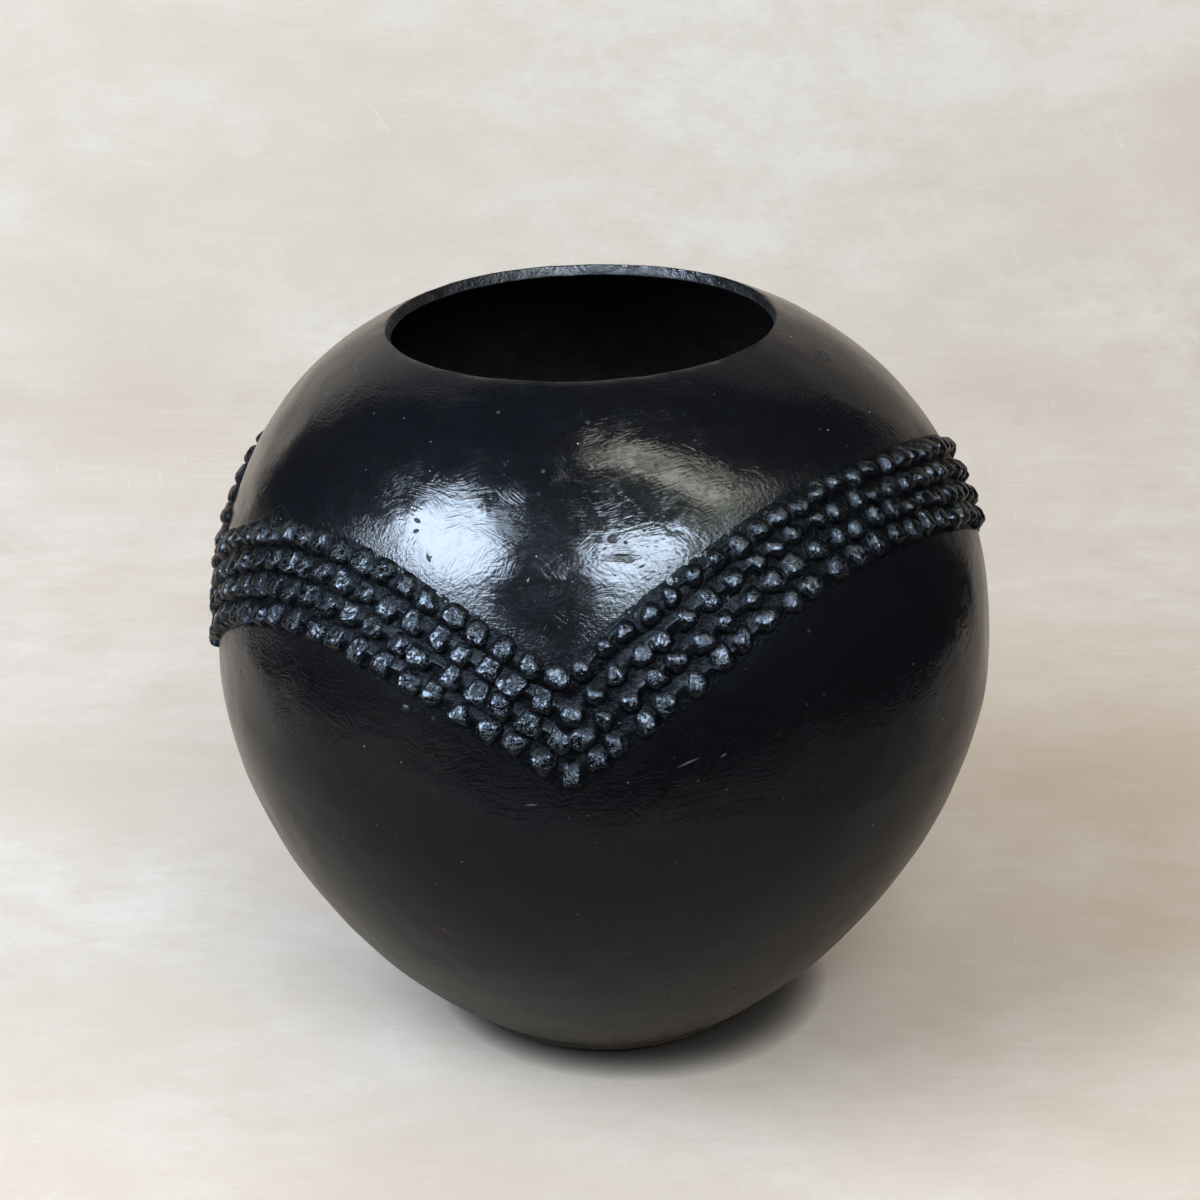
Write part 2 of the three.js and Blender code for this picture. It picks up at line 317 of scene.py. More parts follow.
def vessel_profile():
    """Rings as radius, level, run and part of the skin, from the foot's middle to the floor's."""
    rings = []

    def add(flat_points, runs, part):
        for (radius, level), run in zip(flat_points, runs):
            rings.append((radius, level, run, part))

    def offset_wall(runs, depth):
        radius, level, out, up = wall_at(runs)
        return np.column_stack([radius - out * depth, level - up * depth])

    under = np.linspace(6, FOOT_RADIUS - FOOT_WORN_INSIDE - 2, 9)
    add(np.column_stack([under, np.zeros(len(under))]), under - FOOT_RADIUS, OUTSIDE)
    pull = (FOOT_RADIUS + FOOT_WORN_PULL[0], FOOT_WORN_PULL[1])
    worn_to = offset_wall(np.array([FOOT_WORN_RUN]), 0)[0]
    edge = bezier((FOOT_RADIUS - FOOT_WORN_INSIDE, 0), pull, worn_to, FOOT_RINGS)
    add(edge, np.linspace(-FOOT_WORN_INSIDE, FOOT_WORN_RUN, FOOT_RINGS), OUTSIDE)
    runs = np.linspace(FOOT_WORN_RUN + 2, WALL_RUN - LIP_CORNER, OUTSIDE_RINGS)
    add(offset_wall(runs, 0), runs, OUTSIDE)

    out = np.array(wall_at(WALL_RUN)[2:])
    along = np.array([-out[1], out[0]])
    lip_start = offset_wall(np.array([WALL_RUN - LIP_CORNER]), 0)[0]
    middle = lip_start - out * LIP_CORNER
    for turn in np.radians(np.linspace(15, 90, 6)):
        point = middle + LIP_CORNER * (out * math.cos(turn) + along * math.sin(turn))
        rings.append((*point, WALL_RUN + turn, OUTSIDE))
    for depth in np.linspace(LIP_CORNER, LIP_THICKNESS - LIP_CORNER, 6)[1:-1]:
        point = lip_start - out * depth + along * LIP_CORNER
        rings.append((*point, WALL_RUN + depth + 1, LIP_TOP))
    middle = lip_start - out * (LIP_THICKNESS - LIP_CORNER)
    for turn in np.radians(np.linspace(0, 90, 7)):
        point = middle + LIP_CORNER * (along * math.cos(turn) - out * math.sin(turn))
        rings.append((*point, WALL_RUN + 4 + turn, LIP_INNER_CORNER))

    runs = np.linspace(WALL_RUN - 4, FLOOR_RUN, INSIDE_RINGS)
    inner = offset_wall(runs, thickness(runs))
    add(inner, 2 * WALL_RUN - runs, INSIDE)
    radius, level = inner[-1]
    turned = radius - FLOOR_TURN
    pull = (radius - FLOOR_TURN_PULL, FLOOR_THICKNESS)
    fillet = bezier((radius, level), pull, (turned, FLOOR_THICKNESS), 9)[1:]
    add(fillet, 2 * WALL_RUN - FLOOR_RUN + np.linspace(4, 32, 8), INSIDE)
    floor = np.linspace(turned - 4, 5, 8)
    floor_runs = 2 * WALL_RUN + 20 + (radius - floor)
    add(np.column_stack([floor, np.full(8, FLOOR_THICKNESS)]), floor_runs, INSIDE)
    return np.array(rings)


def make_vessel():
    rings = vessel_profile()
    count = len(rings)
    tangent = np.gradient(rings[:, :2], axis=0)
    tangent /= np.linalg.norm(tangent, axis=1)[:, None]
    normal_r, normal_z = np.repeat(tangent[:, 1], AROUND), -np.repeat(tangent[:, 0], AROUND)
    radius, level, run, part = (np.repeat(column, AROUND) for column in rings.T)
    azimuth = np.tile(np.arange(AROUND) * 360 / AROUND, count)
    base = round_points(azimuth, radius, level)

    near = near_the_band(azimuth, np.clip(run, 0, WALL_RUN)) * (part == OUTSIDE)
    smears = noise(in_cells(base, *SMEAR_SIZE), SMEAR_SEED) * SMEAR_DEPTH
    smears = smears + noise(base / FINGER_SIZE, FINGER_SEED) * FINGER_DEPTH
    lip_share = eased(np.clip(1 - np.abs(run - WALL_RUN - LIP_MIDDLE) / LIP_REACH, 0, 1))
    shift = np.where(part == INSIDE, smears, dents(base, near)) * (1 - lip_share)
    short = WALL_SHORTFALL * rising(run, UNEVEN_START, SHORT_AFTER) * (part != INSIDE)
    shift = shift * rising(run, UNEVEN_START, UNEVEN_AFTER) - short
    moved_r, moved_z = radius + normal_r * shift, level + normal_z * shift

    notch = np.exp(-(((azimuth - NOTCH_AZIMUTH + 180) % 360 - 180) / NOTCH_HALF_WIDTH) ** 2)
    pared = noise(round_points(azimuth, 9.0, 0 * azimuth) + (0, 0, 3), PARED_SEED)
    pared_fine = noise(round_points(azimuth, 26.0, 0 * azimuth), PARED_FINE_SEED)
    waved = noise(round_points(azimuth, 7.0, 0 * azimuth) + (5, 5, 5), LIP_SEED)
    moved_z -= lip_share * (0.1 + 0.24 * pared + 0.1 * pared_fine + 0.4 * notch)
    moved_r += lip_share * (0.25 * waved)
    points = settle(round_points(azimuth, moved_r, moved_z))

    foot_middle = np.array([[0, 0, 0.0]])
    floor_middle = settle(np.array([[0, 0, FLOOR_THICKNESS + 0.1]]))
    points = np.vstack([points, foot_middle, floor_middle])
    quads = grid_faces(count, AROUND, True)
    i = np.arange(AROUND)
    after = (i + 1) % AROUND
    top = (count - 1) * AROUND
    fans = np.vstack([
        np.column_stack([np.full(AROUND, len(points) - 2), after, i]),
        np.column_stack([np.full(AROUND, len(points) - 1), top + i, top + after]),
    ])
    on_lip = np.abs(run - WALL_RUN - 3) < 2.9
    return make_object(
        "pot_body", points, [quads, fans],
        run_mm=np.append(run, [-FOOT_RADIUS, 2 * WALL_RUN + 60]),
        inner=np.append(part, [OUTSIDE, INSIDE]),
        near_band=np.append(near, [0, 0]),
        lip=np.append(on_lip.astype(float), [0, 0]),
    )


# The band of pellets, one piece for each row of each arm

GRID = 0.45
ACROSS = 36
ARM_SAMPLES = 401
SUNK = 0.6
MOST_PROUD = 5.0
ROW_HALF_WIDTH = 6.6

# The low ridge that a row is pinched out of
RIDGE_HEIGHT = 0.75
RIDGE_SPREAD = 2.3
RIDGE_OFFSETS = (1.5, 1.2, 1.2, -1.4)

# A thread of clay squeezed up here and there beside the pellets
THREAD_HEIGHT = 1.1
THREAD_OFFSET = 1.2
THREAD_SPREAD = 0.75

# How far a pellet's own form is warped, and how deep its rough and fine crinkles are
WARP = 0.55
ROUGH_CRINKLE = 0.2
FINE_CRINKLE = 0.16

# The size of each noise in the pinched clay
ROUGH_SIZE, FINE_SIZE, WARP_SIZE, WANDER_SIZE = 2.2, 1.1, 3.2, 9
THREAD_PATH_SIZE, THREAD_SIZE, TIP_SIZE = 24, 21, 1.6

# The one pellet that is pulled out into a tip
TIP_RUN = 7.5
TIP_SPREAD = 3.6
TIP_HEIGHT = 3.0

# How ball-like the pellets are in each row, from 0 for flat-topped flaps: in most arms, and in two
MOST_ROUNDNESS = (0.25, 0.2, 0.25, 0.45)
ARM_ROUNDNESS = {2: (0.6, 0.7, 0.85, 1.0), 3: (0.6, 0.65, 0.75, 0.85)}


def share_out_stations():
    """Azimuths shared out evenly along the band, and the place of each arm among them."""
    stations, starts = [], []
    for turn, azimuth in enumerate(TURN_AZIMUTH):
        following = TURN_AZIMUTH[(turn + 1) % len(TURN_AZIMUTH)]
        span = (following - azimuth) % 360
        line = azimuth + span * np.minimum(np.linspace(0, 1, ARM_SAMPLES), 1 - 1e-9)
        run = (row_run(0, line) + row_run(BAND_ROWS - 1, line)) / 2
        radius, level = wall_at(run)[:2]
        steps = np.diff(settle(round_points(line, radius, level)), axis=0)
        length = np.concatenate([[0], np.cumsum(np.linalg.norm(steps, axis=1))])
        count = round(length[-1] / PELLET_PITCH)
        starts.append(len(stations))
        stations.extend(np.interp(np.arange(count) / count * length[-1], length, line))
    starts.append(len(stations))
    return np.array(stations), starts


STATIONS, ARM_STARTS = share_out_stations()
PLACES = len(STATIONS)


def station_azimuth(place):
    whole = np.floor(place).astype(int)
    low = STATIONS[whole % PLACES] + 360 * (whole // PLACES)
    high = STATIONS[(whole + 1) % PLACES] + 360 * ((whole + 1) // PLACES)
    return low + (high - low) * (place - whole)


def lie_of_row(row, place):
    """The direction of a row at a place, as the cosine and sine of its slope up the wall."""
    back, front = station_azimuth(place - 0.5), station_azimuth(place + 0.5)
    radius = wall_at(row_run(row, station_azimuth(place)))[0]
    along = np.radians(front - back) * radius
    up = row_run(row, front) - row_run(row, back)
    length = np.hypot(along, up)
    return along / length, up / length


def pinch_pellets(row, random):
    """The own sizes, turn and cuts of each pellet in one row, all the way round."""
    def spread(amount):
        return random.uniform(-amount, amount, PLACES)

    def anyhow():
        return random.uniform(0, 2 * math.pi, PLACES)

    arm = np.searchsorted(ARM_STARTS, np.arange(PLACES), side="right") - 1
    roundness = np.array([ARM_ROUNDNESS.get(a, MOST_ROUNDNESS)[row] for a in arm])
    ball = np.clip(roundness + spread(0.2), 0, 1)
    return {
        "ball": ball,
        "place": np.arange(PLACES) + row % 2 / 2 + spread(0.12),
        "rise": spread(0.9),
        "half_length": 4.95 - 0.8 * ball + spread(0.5),
        "half_width": 4.7 - 0.7 * ball + spread(0.4),
        "height": 4.2 + spread(0.4),
        "turn": spread(0.3),
        "slope": 0.5 - 0.25 * ball + spread(0.12),
        "twist": spread(0.25),
        "merging": 0.55 * (1 - ball) + spread(0.12),
        "cuts": [(anyhow(), random.uniform(0.3, 0.7, PLACES), random.uniform(0.88, 1.15, PLACES))
                 for _ in range(3)],
        "lean": 0.3 - 0.15 * ball + spread(0.08),
        "wave": (anyhow(), anyhow()),
    }


def pellet_shape(own, u, v, rough):
    """Height of one pellet at places along and across it, from its own sizes and cuts."""
    a, width, ball, height = own["half_length"], own["half_width"], own["ball"], own["height"]
    b = width * (1 + own["merging"] * np.clip(v / width, 0, 1))
    angle = np.arctan2(v, u)
    wave = 1 + 0.07 * np.sin(2 * angle + own["wave"][0]) + 0.06 * np.sin(3 * angle + own["wave"][1])
    power = 2.6 - 0.6 * ball
    q = ((np.abs(u) / a) ** power + (np.abs(v) / b) ** power) ** (1 / power) / wave
    inside = np.clip(1 - q ** (2.5 - 0.4 * ball), 0, 1)
    dome_power = 0.52 + 0.3 * np.clip(v / width, 0, 1) * (1 - ball)
    dome = height * (1.16 - 0.1 * ball) * inside**dome_power
    torn_edge = 0.4 * (1 - 0.5 * ball) * rough
    top = height * (0.98 + 0.1 * ball - own["slope"] * v / width + own["twist"] * u / a)
    under = height * (1.4 + (1.5 - 0.3 * ball) * v / width) + torn_edge
    softness = 0.22 + 0.5 * ball
    shape = smooth_least(dome, smooth_least(top, under, 0.2 + 0.7 * ball), softness)
    for direction, steepness, reach in own["cuts"]:
        toward = np.cos(direction) * u / a + np.sin(direction) * v / width
        shape = smooth_least(shape, height * (reach + 0.4 * ball - steepness * toward), softness)
    return np.where(inside > 0, shape, 0)


def own_values(pellets, k):
    """What pinch_pellets gave to the pellets with the given numbers."""
    def pick(values):
        return values[k] if isinstance(values, np.ndarray) else [pick(each) for each in values]
    return {key: pick(values) for key, values in pellets.items()}


def clay_height(row, pellets, place, azimuth, run, base):
    """Height of one row's clay over the wall, how far it leans down the wall, and how torn it is."""
    cosine, sine = lie_of_row(row, place)
    off_line = (run - row_run(row, azimuth)) * cosine
    rough = noise(base / ROUGH_SIZE, ROUGH_SEED + row)
    fine = noise(base / FINE_SIZE, FINE_SEED + row)
    warp_u = noise(base / WARP_SIZE, WARP_ALONG_SEED + row)
    warp_v = noise(base / WARP_SIZE, WARP_UP_SEED + row)
    wander = noise(base / WANDER_SIZE, WANDER_SEED + row)
    ridge_line = off_line - RIDGE_OFFSETS[row] - wander
    ridge = RIDGE_HEIGHT * (1 + 0.6 * wander) * np.exp(-((ridge_line / RIDGE_SPREAD) ** 2))
    thread_line = off_line - THREAD_OFFSET - 2.2 * noise(base / THREAD_PATH_SIZE, THREAD_PATH_SEED + row)
    squeezed = np.clip(1.9 * noise(base / THREAD_SIZE, THREAD_SEED + row) - 0.1, 0, 1)
    total = ridge + THREAD_HEIGHT * (squeezed * np.exp(-((thread_line / THREAD_SPREAD) ** 2)))
    lean = np.full(len(run), 0.1)
    torn = np.full(len(run), 0.45)
    radius = wall_at(run)[0]
    nearest = np.round(place - row % 2 / 2).astype(int)
    for step in (-1, 0, 1):
        lap, k = np.divmod(nearest + step, PLACES)
        own = own_values(pellets, k)
        middle = station_azimuth(own["place"]) + 360 * lap
        across = run - row_run(row, middle) - own["rise"]
        along = np.radians(azimuth - middle) * radius
        own_cosine, own_sine = lie_of_row(row, own["place"])
        turn = np.arctan2(own_sine, own_cosine) + own["turn"]
        u = along * np.cos(turn) + across * np.sin(turn) + WARP * warp_u
        v = -along * np.sin(turn) + across * np.cos(turn) + WARP * warp_v
        shape = pellet_shape(own, u, v, rough)
        lean = np.where(shape > total, own["lean"], lean)
        torn = np.where(shape > total, 1 - 0.75 * own["ball"], torn)
        total = smooth_most(total, shape, 0.3)
    crinkle = np.clip(total / 0.5, 0, 1) * (0.45 + 0.55 * np.clip(total / 2.5, 0, 1))
    total = total + torn * crinkle * (ROUGH_CRINKLE * (1 - 2 * np.abs(rough)) + FINE_CRINKLE * fine)
    return smooth_least(total, MOST_PROUD, 0.4), lean * np.clip(total, 0, 5), torn, cosine, sine


def add_pulled_tip(height, base, risen, along):
    """The clay's height with the smear that one pellet was pulled out into."""
    beside = (along - 1.5 + 8 * risen) / (6.5 * (1 - risen) + 0.5)
    side = np.clip(np.where(beside < 0.35, (beside + 1) / 1.35, (1 - beside) / 0.65), 0, 1)
    smear = (TIP_HEIGHT * (1 - risen) + 0.5) * side * (risen > 0)
    return smooth_most(height, smear + 0.15 * noise(base / TIP_SIZE, TIP_SEED) * (side > 0), 0.3)


def make_row(arm, row, pellets):
    first = ARM_STARTS[arm] + row % 2 / 2 - 0.5
    last = ARM_STARTS[arm + 1] + row % 2 / 2 - 0.5
    steps = round((last - first) * PELLET_PITCH / GRID)
    place = np.linspace(first, last, steps + 1)
    azimuth = station_azimuth(place)
    spacing = (row_run(BAND_ROWS - 1, azimuth) - row_run(0, azimuth)) / (BAND_ROWS - 1)
    lower = np.minimum(ROW_HALF_WIDTH / lie_of_row(row, place)[0], 0.8 * spacing)
    has_tip = row == BAND_ROWS - 1 and azimuth[0] <= PULLED_TIP_AZIMUTH < azimuth[-1]
    pulled = np.exp(-(((azimuth - PULLED_TIP_AZIMUTH + 1) / TIP_SPREAD) ** 2))
    upper = lower + TIP_RUN * (pulled if has_tip else 0 * place)

    share = np.linspace(-1, 1, ACROSS + 1)
    offset = share[:, None] * np.where(share[:, None] < 0, lower, upper)
    places = np.tile(place, ACROSS + 1)
    azimuths = np.tile(azimuth, ACROSS + 1)
    line = row_run(row, azimuths)
    runs = line + offset.ravel()
    radius, level = wall_at(runs)[:2]
    base = round_points(azimuths, radius, level)
    height, lean, torn, cosine, sine = clay_height(row, pellets, places, azimuths, runs, base)
    if has_tip:
        risen = np.clip((runs - line) / (TIP_RUN + 5), 0, 1)
        along = np.radians(azimuths - PULLED_TIP_AZIMUTH) * radius
        height = add_pulled_tip(height, base, risen, along)
    edge = eased(np.repeat(np.clip((1 - np.abs(share)) * 7, 0, 1), steps + 1))
    height = np.maximum(height, 0) * edge
    height = height - SUNK * (1 - eased(np.clip(height / 0.6, 0, 1)))
    lean = lean * edge

    leant_run = runs - lean * cosine
    leant_azimuth = azimuths + np.degrees(lean * sine / radius)
    radius, level, out, up = wall_at(leant_run)
    base = round_points(leant_azimuth, radius, level)
    rise = dents(base) - WALL_SHORTFALL + height
    points = settle(round_points(leant_azimuth, radius + out * rise, level + up * rise))

    top = grid_faces(ACROSS + 1, steps + 1, False)
    i = np.arange(steps)
    high = ACROSS * (steps + 1)
    under = np.column_stack([i, high + i, high + i + 1, i + 1])
    ends = [np.arange(ACROSS + 1)[::-1] * (steps + 1), np.arange(ACROSS + 1) * (steps + 1) + steps]
    return make_object(
        f"band_arm_{arm + 1}_row_{row + 1}_clay", points, [top, under, *(e[None, :] for e in ends)],
        proud=height, torn=torn,
    )


# Materials

class Shader:
    """A node tree, with short calls for the nodes it is made of."""

    def __init__(self, name):
        self.material = bpy.data.materials.new(name)
        self.material.use_nodes = True
        self.tree = self.material.node_tree
        self.surface = self.tree.nodes["Principled BSDF"]
        self.output = self.tree.nodes["Material Output"]

    def set(self, socket, value):
        if isinstance(value, bpy.types.NodeSocket):
            self.tree.links.new(value, socket)
        else:
            socket.default_value = value

    def node(self, kind, inputs, output=0, **settings):
        made = self.tree.nodes.new(kind)
        for key, value in settings.items():
            setattr(made, key, value)
        for key, value in inputs.items():
            self.set(made.inputs[key], value)
        return made.outputs[output]

    def math(self, operation, *values, clamp=False):
        inputs = dict(enumerate(values))
        return self.node("ShaderNodeMath", inputs, operation=operation, use_clamp=clamp)

    def vector(self, operation, *values, output=0):
        inputs = dict(enumerate(values))
        return self.node("ShaderNodeVectorMath", inputs, output, operation=operation)

    def position(self):
        """The point in millimetres."""
        place = self.node("ShaderNodeTexCoord", {}, "Object")
        return self.vector("MULTIPLY", place, (1 / MM,) * 3)

    def parts(self, vector):
        return [self.node("ShaderNodeSeparateXYZ", {0: vector}, i) for i in range(3)]

    def attribute(self, name):
        return self.node("ShaderNodeAttribute", {}, "Fac", attribute_name=name)

    def ray(self, kind):
        return self.node("ShaderNodeLightPath", {}, kind)

    def noise(self, vector, scale, detail=2.0, roughness=0.5):
        inputs = {"Vector": vector, "Scale": scale, "Detail": detail, "Roughness": roughness}
        return self.node("ShaderNodeTexNoise", inputs, "Fac")

    def ramp(self, value, low, high, to_low=0.0, to_high=1.0):
        inputs = {"Value": value, "From Min": low, "From Max": high, "To Min": to_low, "To Max": to_high}
        return self.node("ShaderNodeMapRange", inputs, clamp=True)

    def mix(self, share, a, b):
        """A colour from a to b. The numbers are those of the node's colour sockets."""
        return self.node("ShaderNodeMix", {0: share, 6: a, 7: b}, 2, data_type="RGBA")

    def most(self, values):
        """The greatest of several values at each point."""
        greatest = values[0]
        for value in values[1:]:
            greatest = self.math("MAXIMUM", greatest, value)
        return greatest

    def bump(self, height, depth, normal=None):
        inputs = {"Height": height, "Distance": depth * MM, "Strength": 1.0}
        if normal is not None:
            inputs["Normal"] = normal
        return self.node("ShaderNodeBump", inputs)


def strokes(shader, place, run, length, width, climb, detail=2.0):
    """Noise drawn out into burnishing strokes that climb at an angle in degrees."""
    x, y, z = shader.parts(place)
    wander = shader.noise(place, 1 / 34, 1.0)
    run = shader.math("ADD", run, shader.math("MULTIPLY", wander, 22.0))
    cosine, sine = math.cos(math.radians(climb)), math.sin(math.radians(climb))
    along = shader.math("MULTIPLY_ADD", x, cosine, shader.math("MULTIPLY", run, sine))
    across = shader.math("MULTIPLY_ADD", x, -sine, shader.math("MULTIPLY", run, cosine))
    vector = shader.node("ShaderNodeCombineXYZ", {
        0: shader.math("DIVIDE", along, length),
        1: shader.math("DIVIDE", y, length),
        2: shader.math("DIVIDE", across, width),
    })
    return shader.noise(vector, 1.0, detail, 0.55)


def mark(shader, place, azimuth, run, half_length, half_width, climb=0.0, edge=0.5):
    """1 inside one oval place of the wall, fading to 0 at its edge."""
    here, along, up = (Vector(v) for v in wall_place(azimuth, run))
    cosine, sine = math.cos(math.radians(climb)), math.sin(math.radians(climb))
    offset = shader.vector("SUBTRACT", place, tuple(here))
    axes = (
        (along * cosine + up * sine) / half_length,
        (up * cosine - along * sine) / half_width,
        along.cross(up) / (half_length + half_width),
    )
    shares = [shader.vector("DOT_PRODUCT", offset, tuple(axis), output=1) for axis in axes]
    combined = shader.node("ShaderNodeCombineXYZ", dict(enumerate(shares)))
    away = shader.vector("LENGTH", combined, output=1)
    return shader.ramp(away, 1.0, 1.0 - edge)


def marks(shader, place, table):
    return [mark(shader, place, *sizes) for sizes in table]


def specks(shader, place, size, radius, kept):
    """1 on small round specks: one in each kept cell of the given size."""
    cells = shader.tree.nodes.new("ShaderNodeTexVoronoi")
    shader.set(cells.inputs["Vector"], place)
    cells.inputs["Scale"].default_value = 1 / size
    pick, size_pick = (shader.node("ShaderNodeSeparateColor", {0: cells.outputs["Color"]}, i) for i in (0, 1))
    own_radius = shader.math("MULTIPLY", size_pick, radius / size)
    near = shader.math("LESS_THAN", cells.outputs["Distance"], own_radius)
    return shader.math("MULTIPLY", near, shader.math("LESS_THAN", pick, kept))


# The marks of the burnished wall: azimuth, run, half length and half width, and where they aren't
# level or half sharp, the climb in degrees and how soft the edge is

PITS = (
    (0.9, 302.3, 1.5, 1.2), (3.1, 302.6, 2.1, 1.7), (5.0, 301.0, 0.8, 0.7), (8.2, 305.0, 0.7, 0.6),
    (-29.3, 304.5, 0.8, 1.6, 70.0), (-29.1, 300.5, 1.3, 0.8, 20.0), (-26.0, 291.4, 1.8, 0.7, -50.0),
)
SLOTS = ((4.0, 295.6, 8.0, 1.5, -3.0, 0.95), (5.2, 294.9, 2.4, 1.5, 0.0, 0.8), (7.6, 306.6, 5.5, 1.0, 8.0, 0.9))
SCRATCHES = (
    (11.0, 219.8, 5.0, 0.5, 20.0, 0.8), (-9.5, 203.8, 2.8, 0.5, 6.0, 0.8), (15.8, 221.0, 1.6, 0.5, 30.0, 0.8),
)
SCORCHES = (
    (-25.0, 133.0, 2.6, 0.9, -24.0, 0.7), (-28.8, 82.0, 3.0, 1.2, -5.0, 0.9), (3.7, 129.3, 1.1, 0.9, 0.0, 0.9),
)
BURRS = (
    (11.2, 101.7, 1.9, 0.7, 0.0, 0.8), (25.8, 88.3, 3.0, 1.0, 18.0, 0.8), (-27.2, 234.6, 2.2, 1.4, 0.0, 0.8),
)
PRESSED_PATCH = (8.0, 298.0, 30.0, 17.0)
DULL_PATCH = (75, 350, 6.0, 4.5, -20.0, 0.8)

# The colours of the burnished clay, from its ground up to what lies on it
COOL_BLACK = (0.0006, 0.0012, 0.0032, 1)
WARM_BLACK = (0.0030, 0.0024, 0.0018, 1)
# A painted bluish sheen of the lamps, laid in random patches on the shoulder
PAINTED_BLUE_SHEEN = (0.0020, 0.0040, 0.0110, 1)
# A painted sheen: a pale blue haze that stands in for spread reflections on the shoulder
PAINTED_SHEEN_HAZE = (0.0068, 0.0078, 0.0115, 1)
RUBBED_GREY = (0.0050, 0.0050, 0.0052, 1)
FOOT_BROWN = (0.023, 0.019, 0.0145, 1)
SCUFF_BROWN = (0.050, 0.042, 0.034, 1)
SCORCH_RED = (0.075, 0.028, 0.014, 1)
SCRATCH_GREY = (0.16, 0.16, 0.16, 1)
DUST_GREY = (0.5, 0.49, 0.46, 1)
DEEP_SOOT = (0.0010, 0.0008, 0.0007, 1)
THIN_SOOT = (0.018, 0.012, 0.0085, 1)
SHEEN_TINT = (0.82, 0.92, 1.0, 1)


